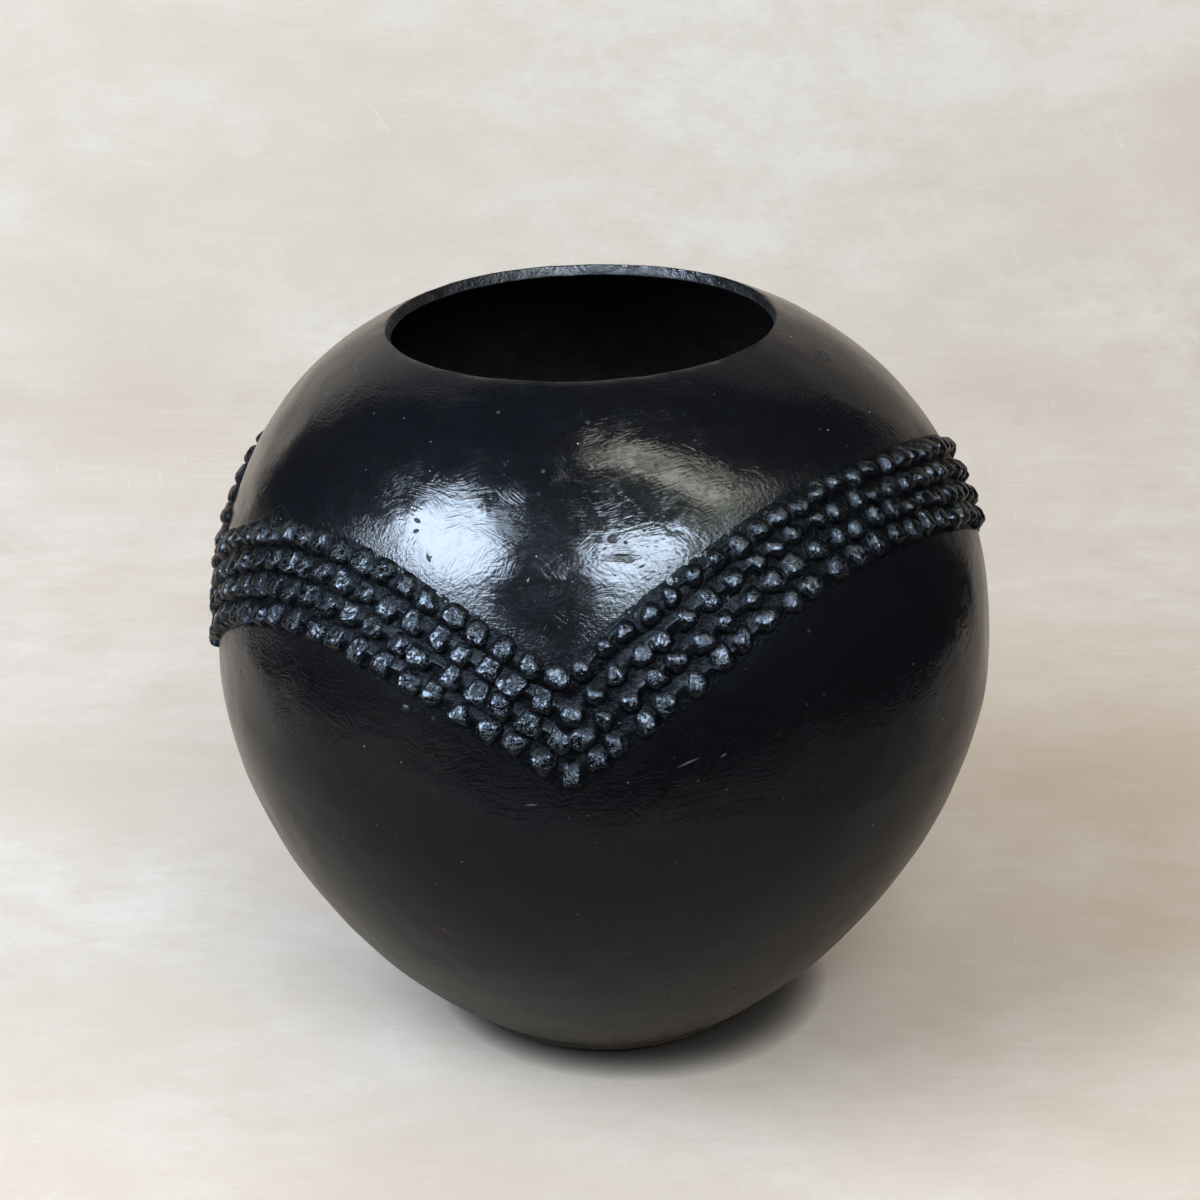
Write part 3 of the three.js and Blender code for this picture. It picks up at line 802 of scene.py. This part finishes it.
def burnished_clay():
    shader = Shader("burnished_clay")
    place = shader.position()
    run = shader.attribute("run_mm")
    inner = shader.attribute("inner")
    near_band = shader.attribute("near_band")
    lip = shader.attribute("lip")

    # Strokes, grains and clouds
    cloud = shader.noise(place, 1 / 75, 3.0)
    level = strokes(shader, place, run, 20.0, 2.0, 0.0)
    slanting = strokes(shader, place, run, 15.0, 1.6, 32.0)
    flat_hairs = strokes(shader, place, run, 9.0, 0.7, 10.0, 3.0)
    falling_hairs = strokes(shader, place, run, 7.0, 0.7, -42.0, 3.0)
    rising_hairs = strokes(shader, place, run, 7.0, 0.7, 58.0, 3.0)
    patch = shader.ramp(shader.noise(place, 1 / 28, 1.0), 0.42, 0.58)
    worked = shader.mix(patch, level, slanting)
    turn = shader.noise(shader.vector("ADD", place, (70.0, 0.0, 0.0)), 1 / 11, 2.0)
    hairs = shader.mix(shader.ramp(turn, 0.4, 0.48), falling_hairs, flat_hairs)
    hairs = shader.mix(shader.ramp(turn, 0.54, 0.62), hairs, rising_hairs)
    kneaded = shader.noise(place, 1 / 1.5, 3.0, 0.6)
    grain = shader.noise(place, 1 / 1.1, 2.0, 0.7)
    foot = shader.ramp(run, 165.0, 25.0)
    smudge = shader.ramp(shader.noise(place, 1 / 9, 5.0, 0.72), 0.45, 0.65)

    # Marks, and dust that lies on the shoulder more than below it
    pressed = shader.math("MULTIPLY", shader.noise(place, 1 / 5.0, 2.0), mark(shader, place, *PRESSED_PATCH))
    pits = shader.most([specks(shader, place, 8.0, 0.9, 0.2), *marks(shader, place, PITS)])
    slot = shader.most(marks(shader, place, SLOTS))
    slot = shader.math("MULTIPLY", slot, shader.ramp(kneaded, 0.3, 0.55, 0.4, 1.0))
    scratch = shader.most(marks(shader, place, SCRATCHES))
    scorched = shader.most(marks(shader, place, SCORCHES))
    burr = shader.most(marks(shader, place, BURRS))
    dull = shader.math("MULTIPLY", mark(shader, place, *DULL_PATCH), shader.ramp(grain, 0.4, 0.55))
    clumps = shader.ramp(shader.noise(place, 1 / 26, 2.0), 0.42, 0.72, 0.04, 0.4)
    dust = shader.most([specks(shader, place, 13.0, 0.36, 0.2), specks(shader, place, 3.6, 0.28, clumps)])
    dust = shader.math("MULTIPLY", dust, shader.ramp(run, 120.0, 260.0, 0.25, 1.0))

    # Colour
    # Painted sheen: random patches of the shoulder turn bluish, as if lit by the lamps
    blue_sheen_patches = shader.math("MULTIPLY", smudge, shader.ramp(run, 170.0, 250.0))
    black = shader.mix(shader.ramp(cloud, 0.35, 0.65), COOL_BLACK, WARM_BLACK)
    black = shader.mix(blue_sheen_patches, black, PAINTED_BLUE_SHEEN)
    # Painted sheen: the black is lifted towards a pale blue haze up the shoulder
    sheen_hazed = shader.mix(shader.ramp(run, 190.0, 260.0, 0.0, 0.7), black, PAINTED_SHEEN_HAZE)
    worn = shader.mix(shader.ramp(worked, 0.4, 0.75, 0.0, 0.5), sheen_hazed, RUBBED_GREY)
    streaks = shader.math("ADD", level, shader.math("MULTIPLY", cloud, 0.6))
    brown = shader.ramp(streaks, 0.6, 1.0, 0.25, 1.0)
    worn = shader.mix(shader.math("MULTIPLY", foot, brown), worn, FOOT_BROWN)
    scuffed = shader.math("MULTIPLY", shader.ramp(run, 75.0, 12.0), brown)
    worn = shader.mix(scuffed, worn, SCUFF_BROWN)
    darker = shader.vector("MULTIPLY", worn, (0.4, 0.4, 0.4))
    worn = shader.mix(shader.math("MULTIPLY", grain, 0.5), worn, darker)
    marked = shader.mix(shader.math("MULTIPLY", scorched, 0.8), worn, SCORCH_RED)
    marked = shader.mix(shader.math("MULTIPLY", scratch, 0.6), marked, SCRATCH_GREY)
    dusty = shader.mix(dust, marked, DUST_GREY)
    sooted = shader.ramp(shader.noise(place, 1 / 18, 5.0, 0.7), 0.38, 0.68)
    soot = shader.mix(sooted, DEEP_SOOT, THIN_SOOT)
    shader.set(shader.surface.inputs["Base Color"], shader.mix(inner, dusty, soot))

    # Gloss
    gloss = shader.ramp(cloud, 0.3, 0.7, 0.07, 0.13)
    gloss = shader.math("ADD", gloss, shader.ramp(hairs, 0.3, 0.7, -0.01, 0.06))
    pared = shader.ramp(shader.noise(place, 1 / 14, 3.0), 0.42, 0.62, 0.3, 0.06)
    for share, amount in ((near_band, 0.1), (smudge, 0.05), (foot, 0.12), (dust, 0.4), (burr, 0.4), (pits, 0.6),
                          (slot, 0.2), (dull, 0.6), (scorched, 0.3), (lip, pared)):
        gloss = shader.math("MULTIPLY_ADD", share, amount, gloss)
    gloss = shader.math("MULTIPLY_ADD", inner, 0.5, gloss, clamp=True)
    shader.set(shader.surface.inputs["Roughness"], gloss)
    shader.surface.inputs["Specular IOR Level"].default_value = 0.55
    shader.surface.inputs["Specular Tint"].default_value = SHEEN_TINT
    shader.surface.inputs["Coat Weight"].default_value = 0.06
    shader.surface.inputs["Coat Roughness"].default_value = 0.34

    # Relief
    normal = shader.bump(worked, 0.08)
    normal = shader.bump(hairs, 0.11, normal)
    normal = shader.bump(shader.noise(place, 1 / 5.5, 3.0, 0.6), 0.12, normal)
    normal = shader.bump(pressed, 0.5, normal)
    normal = shader.bump(shader.math("MULTIPLY", grain, dull), 0.9, normal)
    cut = shader.math("MULTIPLY", shader.noise(place, 1 / 5, 3.0, 0.6), lip)
    normal = shader.bump(cut, 1.3, normal)
    normal = shader.bump(shader.math("MULTIPLY", kneaded, near_band), 0.3, normal)
    sunk = shader.math("MAXIMUM", pits, shader.math("MULTIPLY", slot, 0.9))
    relief = shader.math("SUBTRACT", shader.math("MULTIPLY", scratch, 0.3), sunk)
    relief = shader.math("ADD", relief, shader.math("MULTIPLY", burr, 0.8))
    shader.set(shader.surface.inputs["Normal"], shader.bump(relief, 0.4, normal))
    return shader.material


# The colours of the pinched clay

PELLET_COOL_BLACK = (0.0008, 0.0012, 0.0026, 1)
PELLET_WARM_BLACK = (0.0026, 0.0024, 0.0024, 1)
PELLET_RUBBED_GREY = (0.005, 0.0056, 0.0070, 1)
PELLET_DUST = (0.30, 0.28, 0.25, 1)
PELLET_TINT = (0.68, 0.84, 1.0, 1)


def pellet_clay():
    """Rubbed to a gloss on the tops of the pellets, and dull and torn between them."""
    shader = Shader("pellet_clay")
    place = shader.position()
    proud = shader.attribute("proud")
    torn = shader.attribute("torn")
    cloud = shader.noise(place, 1 / 30, 2.0)
    tears = shader.noise(place, 1 / 1.5, 3.0, 0.65)
    creased = shader.math("ABSOLUTE", shader.math("SUBTRACT", tears, 0.5))
    grit = shader.noise(place, 1 / 0.75, 2.0, 0.6)

    black = shader.mix(cloud, PELLET_COOL_BLACK, PELLET_WARM_BLACK)
    touched = shader.math("MULTIPLY", shader.ramp(proud, 0.8, 3.6), tears)
    rubbed = shader.mix(touched, black, PELLET_RUBBED_GREY)
    dust = specks(shader, place, 4.0, 0.4, 0.25)
    dusty = shader.mix(shader.math("MULTIPLY", dust, 0.6), rubbed, PELLET_DUST)
    shader.set(shader.surface.inputs["Base Color"], dusty)

    gloss = shader.ramp(proud, 0.8, 3.8, 0.36, 0.11)
    gloss = shader.math("ADD", gloss, shader.ramp(tears, 0.3, 0.7, -0.04, 0.1))
    shader.set(shader.surface.inputs["Roughness"], gloss)
    shader.set(shader.surface.inputs["Specular IOR Level"], shader.ramp(proud, 0.6, 2.8, 0.16, 0.6))
    shader.surface.inputs["Specular Tint"].default_value = PELLET_TINT

    low = shader.ramp(proud, 2.4, 0.8)
    torn_or_low = shader.math("MAXIMUM", torn, low)
    normal = shader.bump(shader.math("MULTIPLY", tears, torn_or_low), 0.5)
    normal = shader.bump(shader.math("MULTIPLY", creased, torn), 0.6, normal)
    normal = shader.bump(grit, 0.18, normal)
    shader.set(shader.surface.inputs["Normal"], normal)
    return shader.material


vessel = make_vessel()
vessel.data.materials.append(burnished_clay())
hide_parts("base", *(f"wall_coil_{i}" for i in range(1, 7)), "rim_coil")
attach(vessel, "root")

pinched = pellet_clay()
random = np.random.default_rng(PELLET_SEED)
for row in range(BAND_ROWS):
    pellets = pinch_pellets(row, random)
    for arm in range(len(TURN_AZIMUTH)):
        piece = make_row(arm, row, pellets)
        piece.data.materials.append(pinched)
        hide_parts(f"band_arm_{arm + 1}_row_{row + 1}")
        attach(piece, "root")


# The canvas that the pot stands on, which turns up behind it

CANVAS_HALF_WIDTH = 660
CANVAS_FRONT = -500
CANVAS_FOLD = 550
FOLD_RADIUS = 80
CANVAS_TOP = 1500
FAR = 5000
CANVAS_COLOUR = (0.82, 0.754, 0.70)

# Shades of the canvas, as shares of its colour
STAINED_CLOUD = (0.92, 0.87, 0.80)
CLEAN_CLOUD = (1.045, 1.045, 1.04)
STAINED_PATCH = (0.91, 0.86, 0.80)
WEAVE_SHADE = (0.8, 0.78, 0.76)
FIBRE_SHADE = (1.12, 1.13, 1.14)
SCUFF_SHADE = (1.14, 1.16, 1.18)
# A painted contact shadow round the foot, as a share of the canvas's colour
CONTACT_SHADOW_SHADE = (0.12, 0.12, 0.12)
MIRRORED_SHADE = (1.0, 0.92, 0.83)

# Tints that change it over wide areas: up its rise; a painted shade in its fold; a painted warm shade behind
# the pot on the right, where its shadow lies; painted light in front of the pot
RISE_TINT = (1.0, 1.035, 1.05)
PAINTED_FOLD_SHADE = (0.92, 0.91, 0.91)
PAINTED_SHADOW_TINT = (0.97, 0.93, 0.87)
PAINTED_FRONT_LIGHT = (1.11, 1.05, 1.01)

# A contact shadow painted in a ring round the foot: its middle, and the radii at which it starts to fade and
# has faded
CONTACT_SHADOW_MIDDLE = (12, 2, 0)
CONTACT_SHADOW_RADIUS = 64.0
CONTACT_SHADOW_END_RADIUS = 87.0


def canvas_material(name):
    shader = Shader(name)
    place = shader.position()
    x, y, z = shader.parts(place)

    def shade(shares):
        return (*(whole * share for whole, share in zip(CANVAS_COLOUR, shares)), 1)

    def tinted(under, share, tint):
        return shader.vector("MULTIPLY", under, shader.mix(share, (1, 1, 1, 1), (*tint, 1)))

    def stretched_noise(stretch, scale, detail, roughness, vector=place):
        return shader.noise(shader.vector("MULTIPLY", vector, stretch), scale, detail, roughness)

    clouds = stretched_noise((0.5, 1.0, 1.0), 1 / 130, 4.0, 0.6)
    patches = stretched_noise((0.6, 1.0, 1.0), 1 / 34, 6.0, 0.75)
    weave = stretched_noise((0.12, 1.4, 1.4), 1.0, 3.0, 0.6)
    fibres = stretched_noise((0.02, 0.5, 0.5), 1.0, 3.0, 0.6)
    turned = {"Vector": place, "Axis": (0.5, 0.5, 0.7), "Angle": 0.7}
    aslant = shader.node("ShaderNodeVectorRotate", turned)
    scuffs = stretched_noise((0.9, 0.1, 0.1), 0.3, 4.0, 0.7, aslant)

    mottled = shader.mix(shader.ramp(clouds, 0.38, 0.62), shade(STAINED_CLOUD), shade(CLEAN_CLOUD))
    mottled = shader.mix(shader.ramp(patches, 0.42, 0.7), mottled, shade(STAINED_PATCH))
    higher = shader.math("MULTIPLY", shader.ramp(z, 40.0, 130.0), shader.ramp(x, 330.0, 200.0, 0.5, 1.0))
    mottled = tinted(mottled, higher, RISE_TINT)
    # Painted shade: the canvas is darkened in its fold
    fold_shade = shader.math("MULTIPLY", shader.ramp(y, 470.0, 505.0), shader.ramp(z, 120.0, 50.0))
    mottled = tinted(mottled, fold_shade, PAINTED_FOLD_SHADE)
    # Painted shade: a warmer, darker tint where the pot's shadow lies, behind it on the right, broken by
    # patches
    shadow_warmth = shader.math("MULTIPLY", shader.ramp(x, 80.0, 280.0), shader.ramp(y, -220.0, 20.0))
    shadow_warmth = shader.math("MULTIPLY", shadow_warmth, shader.ramp(y, 420.0, 290.0))
    shadow_warmth = shader.math("MULTIPLY", shadow_warmth, shader.ramp(patches, 0.3, 0.6, 0.7, 1.0))
    mottled = tinted(mottled, shadow_warmth, PAINTED_SHADOW_TINT)
    # Painted light: the floor in front of the pot is made lighter and warmer
    mottled = tinted(mottled, shader.ramp(y, 0.0, -150.0), PAINTED_FRONT_LIGHT)

    woven = shader.mix(shader.ramp(weave, 0.3, 0.7, 0.0, 0.3), mottled, shade(WEAVE_SHADE))
    woven = shader.mix(shader.ramp(fibres, 0.5, 0.75, 0.0, 0.2), woven, shade(FIBRE_SHADE))
    woven = shader.mix(shader.ramp(scuffs, 0.64, 0.74, 0.0, 0.35), woven, shade(SCUFF_SHADE))
    # Painted contact shadow: the canvas is darkened in a ring round the pot's foot
    from_foot = shader.vector("LENGTH", shader.vector("SUBTRACT", place, CONTACT_SHADOW_MIDDLE), output=1)
    unshadowed = shader.math("POWER", shader.ramp(from_foot, CONTACT_SHADOW_RADIUS, CONTACT_SHADOW_END_RADIUS), 2.0)
    woven = shader.mix(unshadowed, shade(CONTACT_SHADOW_SHADE), woven)

    # What the burnished clay mirrors of the canvas is darker, and fades upwards and to the right
    share = shader.math("MULTIPLY", shader.ramp(y, -150.0, 350.0, 0.32, 0.8),
                        shader.ramp(z, 150.0, 900.0, 1.0, 0.35))
    deeper = shader.mix(share, (0, 0, 0, 1), shade(MIRRORED_SHADE))
    deeper = shader.mix(shader.ramp(x, 120.0, 420.0, 0.0, 0.3), deeper, (0, 0, 0, 1))
    shader.set(shader.surface.inputs["Base Color"], shader.mix(shader.ray("Is Glossy Ray"), woven, deeper))
    shader.surface.inputs["Roughness"].default_value = 0.85
    shader.surface.inputs["Specular IOR Level"].default_value = 0.15
    return shader


def see_through_back(shader):
    """Lets the camera look through the canvas from behind."""
    back = shader.node("ShaderNodeNewGeometry", {}, "Backfacing")
    clear = shader.node("ShaderNodeBsdfTransparent", {})
    from_behind = shader.math("MULTIPLY", back, shader.ray("Is Camera Ray"))
    both = shader.node("ShaderNodeMixShader", {0: from_behind, 1: shader.surface.outputs[0], 2: clear})
    shader.set(shader.output.inputs["Surface"], both)
    return shader.material


def make_sheet(name, half_width, line, material):
    """A sheet that runs across between two sides, along a line of places given as y and z."""
    points = np.array([(x, y, z) for y, z in line for x in (-half_width, half_width)], float)
    sheet = make_object(name, points, [grid_faces(len(line), 2, False)])
    sheet.data.materials.append(material)
    return sheet


floor_material = canvas_material("canvas").material
back_material = see_through_back(canvas_material("canvas_back"))
fold = [(CANVAS_FOLD + FOLD_RADIUS * (math.sin(turn) - 1), FOLD_RADIUS * (1 - math.cos(turn)))
        for turn in np.radians(np.linspace(0, 90, 13))]
make_sheet("canvas_floor", CANVAS_HALF_WIDTH, [(CANVAS_FRONT, 0), fold[0]], floor_material)
make_sheet("canvas_rise", CANVAS_HALF_WIDTH, [*fold, (CANVAS_FOLD, CANVAS_TOP)], back_material)
beyond = make_sheet("floor_beyond", FAR, [(-FAR, -1), (FAR, -1)], floor_material)
beyond.visible_glossy = False


# Light: daylight from the left and from in front in a pale room, and what the clay mirrors of it

LAMP_DISTANCE = 2000
LEFT_SPOT = (-57, -122, 259)
RIGHT_SPOT = (12, -135, 257)
FLOOR_SPOT = (0, 0, 100)
LEFT_SILL = (0.85, -0.53, 0)
RIGHT_SILL = (0.97, 0.26, 0)

ROOM_COLOUR = (0.37, 0.33, 0.30, 1)
MIRRORED_ROOM = (0.015, 0.015, 0.015, 1)
BACKGROUND = (0.72, 0.69, 0.66, 1)


def make_lamp(name, at, target, along, size, radiance, colour, shape="ELLIPSE"):
    """An area lamp that faces a target, with its first side lying along a given direction."""
    data = bpy.data.lights.new(name, "AREA")
    data.shape = shape
    data.size = size[0] * MM
    data.size_y = size[1] * MM
    area = size[0] * size[1] * MM**2 * (math.pi / 4 if shape == "ELLIPSE" else 1)
    data.energy = radiance * math.pi * area
    data.color = colour
    lamp = bpy.data.objects.new(name, data)
    bpy.context.scene.collection.objects.link(lamp)
    lamp.location = Vector(at) * MM
    z = (Vector(at) - Vector(target)).normalized()
    y = z.cross(Vector(along)).normalized()
    lamp.rotation_mode = "QUATERNION"
    lamp.rotation_quaternion = Matrix((y.cross(z), y, z)).transposed().to_quaternion()
    lamp.visible_camera = False
    return lamp


def make_window(name, spot, azimuth, elevation, sill, size, radiance, colour):
    """A lamp like a window, seen from a spot in a given direction."""
    a, e = math.radians(azimuth), math.radians(elevation)
    towards = Vector((math.cos(e) * math.sin(a), -math.cos(e) * math.cos(a), math.sin(e)))
    return make_lamp(name, Vector(spot) + towards * LAMP_DISTANCE, spot, sill, size, radiance, colour)


mirrored_lamps = [
    make_window("lamp_left", LEFT_SPOT, -56, 37.5, LEFT_SILL, (1230, 1160), 24, (0.8, 0.87, 1.0)),
    make_window("lamp_right", RIGHT_SPOT, 15, 43.5, RIGHT_SILL, (1230, 790), 23, (0.84, 0.9, 1.0)),
    make_lamp("warm_strip", (370, -315, 1275), (20, -110, 280), (0.917, -0.18, -0.36), (880, 150), 8.5,
              (1.0, 0.93, 0.74), "RECTANGLE"),
]
for lamp in mirrored_lamps:
    lamp.visible_diffuse = False
spreading_lamps = [
    make_window("daylight_left", FLOOR_SPOT, -58, 44, LEFT_SILL, (1000, 1550), 8.8, (0.69, 0.84, 1.0)),
    make_window("daylight_right", FLOOR_SPOT, 15, 43.5, RIGHT_SILL, (1000, 800), 7.4, (0.86, 0.98, 1.0)),
]
for lamp in spreading_lamps:
    lamp.visible_glossy = False

world = bpy.data.worlds.new("room")
bpy.context.scene.world = world
world.use_nodes = True
nodes, links = world.node_tree.nodes, world.node_tree.links
room = nodes["Background"]
room.inputs["Color"].default_value = ROOM_COLOUR
path = nodes.new("ShaderNodeLightPath")
shaded = room.outputs[0]
for kind, colour in (("Is Glossy Ray", MIRRORED_ROOM), ("Is Camera Ray", BACKGROUND)):
    other = nodes.new("ShaderNodeBackground")
    other.inputs["Color"].default_value = colour
    mixed = nodes.new("ShaderNodeMixShader")
    links.new(path.outputs[kind], mixed.inputs[0])
    links.new(shaded, mixed.inputs[1])
    links.new(other.outputs[0], mixed.inputs[2])
    shaded = mixed.outputs[0]
links.new(shaded, nodes["World Output"].inputs["Surface"])

# The camera, at the photograph's angle

CAMERA_TARGET = Vector((-2.46, 0, 180.9))
CAMERA_DISTANCE = 1042.7
CAMERA_ELEVATION = math.radians(23.6)
SENSOR_WIDTH = 24
FOCAL_LENGTH = 50

camera_data = bpy.data.cameras.new("camera")
camera_data.sensor_width = SENSOR_WIDTH
camera_data.lens = FOCAL_LENGTH
camera = bpy.data.objects.new("camera", camera_data)
bpy.context.scene.collection.objects.link(camera)
back = Vector((0, -math.cos(CAMERA_ELEVATION), math.sin(CAMERA_ELEVATION)))
camera.location = (CAMERA_TARGET + back * CAMERA_DISTANCE) * MM
camera.rotation_mode = "QUATERNION"
camera.rotation_quaternion = (-back).to_track_quat("-Z", "Y")
bpy.context.scene.camera = camera
bpy.context.scene.view_settings.view_transform = "Standard"
